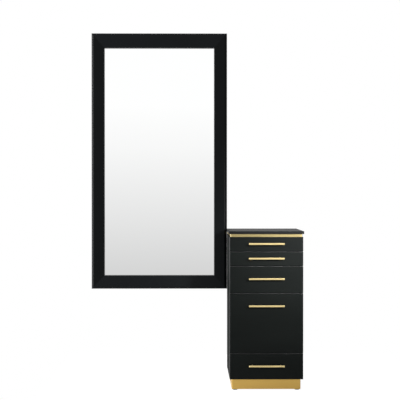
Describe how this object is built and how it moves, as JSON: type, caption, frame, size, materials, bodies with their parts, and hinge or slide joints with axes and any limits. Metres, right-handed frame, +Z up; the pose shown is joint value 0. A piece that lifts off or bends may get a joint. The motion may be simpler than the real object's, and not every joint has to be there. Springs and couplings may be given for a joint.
{
  "type": "salon mirror cabinet",
  "caption": "Tall framed wall mirror with bevelled glass, joined to the side of a narrow pedestal of pull-out drawers with bar handles, a banded worktop and a set-back plinth.",
  "frame": {"origin": "on the floor, under the middle of the whole width and depth", "axes": "+Z up, +X to the right as seen from the front, +Y from the drawer fronts to the wall"},
  "size_m": [1.232, 0.458, 2.068],
  "materials": {
    "frame_lacquer": "black satin lacquer",
    "mirror_silver": "silvered glass with a bevel",
    "hardboard": "bare hardboard",
    "hardware_steel": "bright zinc",
    "cleat_aluminium": "mill finish",
    "bumper_rubber": "matte",
    "panel_black": "black satin laminate",
    "worktop_stone": "honed black",
    "band_brass": "satin gold",
    "handle_brass": "satin gold",
    "plinth_gold": "satin gold coating",
    "glide_black": "black",
    "drawer_birch": "clear-coated birch plywood",
    "plain_wood": "bare wood"
  },
  "bodies": {
    "cabinet": {"mirror_top_rail": "frame_lacquer", "mirror_bottom_rail": "frame_lacquer", "mirror_left_stile": "frame_lacquer", "mirror_right_stile": "frame_lacquer", "mirror_glass": "mirror_silver", "mirror_backing_board": "hardboard", "frame_corner_plates": "hardware_steel", "backing_clips": "hardware_steel", "mirror_screws": "hardware_steel", "mirror_cleat": "cleat_aluminium", "wall_cleat": "cleat_aluminium", "wall_bumpers": "bumper_rubber", "side_panel_left": "panel_black", "side_panel_right": "panel_black", "back_panel": "panel_black", "bottom_panel": "panel_black", "sub_top": "panel_black", "fixed_shelves": "panel_black", "carcass_dowels": "plain_wood", "wall_batten": "plain_wood", "top_spacer": "panel_black", "gold_band": "band_brass", "worktop": "worktop_stone", "plinth_skirt": "plinth_gold", "glide_brackets": "hardware_steel", "levelling_glides": "glide_black", "slide_outer_members": "hardware_steel", "link_bolts": "hardware_steel", "link_spacers": "hardware_steel"},
    "drawer_1": {"drawer_1_front": "panel_black", "drawer_1_box": "drawer_birch", "drawer_1_bottom": "drawer_birch", "drawer_1_handle": "handle_brass", "drawer_1_slide_inner": "hardware_steel"},
    "drawer_1_middle": {"drawer_1_slide_middle": "hardware_steel"},
    "drawer_2": {"drawer_2_front": "panel_black", "drawer_2_box": "drawer_birch", "drawer_2_bottom": "drawer_birch", "drawer_2_handle": "handle_brass", "drawer_2_slide_inner": "hardware_steel"},
    "drawer_2_middle": {"drawer_2_slide_middle": "hardware_steel"},
    "drawer_3": {"drawer_3_front": "panel_black", "drawer_3_box": "drawer_birch", "drawer_3_bottom": "drawer_birch", "drawer_3_handle": "handle_brass", "drawer_3_slide_inner": "hardware_steel"},
    "drawer_3_middle": {"drawer_3_slide_middle": "hardware_steel"},
    "drawer_4": {"drawer_4_front": "panel_black", "drawer_4_box": "drawer_birch", "drawer_4_bottom": "drawer_birch", "drawer_4_handle": "handle_brass", "drawer_4_slide_inner": "hardware_steel"},
    "drawer_4_middle": {"drawer_4_slide_middle": "hardware_steel"},
    "drawer_5": {"drawer_5_front": "panel_black", "drawer_5_box": "drawer_birch", "drawer_5_bottom": "drawer_birch", "drawer_5_handle": "handle_brass", "drawer_5_slide_inner": "hardware_steel"},
    "drawer_5_middle": {"drawer_5_slide_middle": "hardware_steel"}
  },
  "joints": [
    {"name": "drawer_1_pull", "type": "slide", "parent": "cabinet", "child": "drawer_1", "axis": [0, -1, 0], "range_m": [0, 0.345]},
    {"name": "drawer_1_middle_run", "type": "slide", "parent": "cabinet", "child": "drawer_1_middle", "axis": [0, -1, 0], "range_m": [0, 0.1725]},
    {"name": "drawer_2_pull", "type": "slide", "parent": "cabinet", "child": "drawer_2", "axis": [0, -1, 0], "range_m": [0, 0.345]},
    {"name": "drawer_2_middle_run", "type": "slide", "parent": "cabinet", "child": "drawer_2_middle", "axis": [0, -1, 0], "range_m": [0, 0.1725]},
    {"name": "drawer_3_pull", "type": "slide", "parent": "cabinet", "child": "drawer_3", "axis": [0, -1, 0], "range_m": [0, 0.345]},
    {"name": "drawer_3_middle_run", "type": "slide", "parent": "cabinet", "child": "drawer_3_middle", "axis": [0, -1, 0], "range_m": [0, 0.1725]},
    {"name": "drawer_4_pull", "type": "slide", "parent": "cabinet", "child": "drawer_4", "axis": [0, -1, 0], "range_m": [0, 0.345]},
    {"name": "drawer_4_middle_run", "type": "slide", "parent": "cabinet", "child": "drawer_4_middle", "axis": [0, -1, 0], "range_m": [0, 0.1725]},
    {"name": "drawer_5_pull", "type": "slide", "parent": "cabinet", "child": "drawer_5", "axis": [0, -1, 0], "range_m": [0, 0.345]},
    {"name": "drawer_5_middle_run", "type": "slide", "parent": "cabinet", "child": "drawer_5_middle", "axis": [0, -1, 0], "range_m": [0, 0.1725]}
  ],
  "couplings": [
    {"joint": "drawer_1_middle_run", "follows": "drawer_1_pull", "ratio": 0.5},
    {"joint": "drawer_2_middle_run", "follows": "drawer_2_pull", "ratio": 0.5},
    {"joint": "drawer_3_middle_run", "follows": "drawer_3_pull", "ratio": 0.5},
    {"joint": "drawer_4_middle_run", "follows": "drawer_4_pull", "ratio": 0.5},
    {"joint": "drawer_5_middle_run", "follows": "drawer_5_pull", "ratio": 0.5}
  ]
}
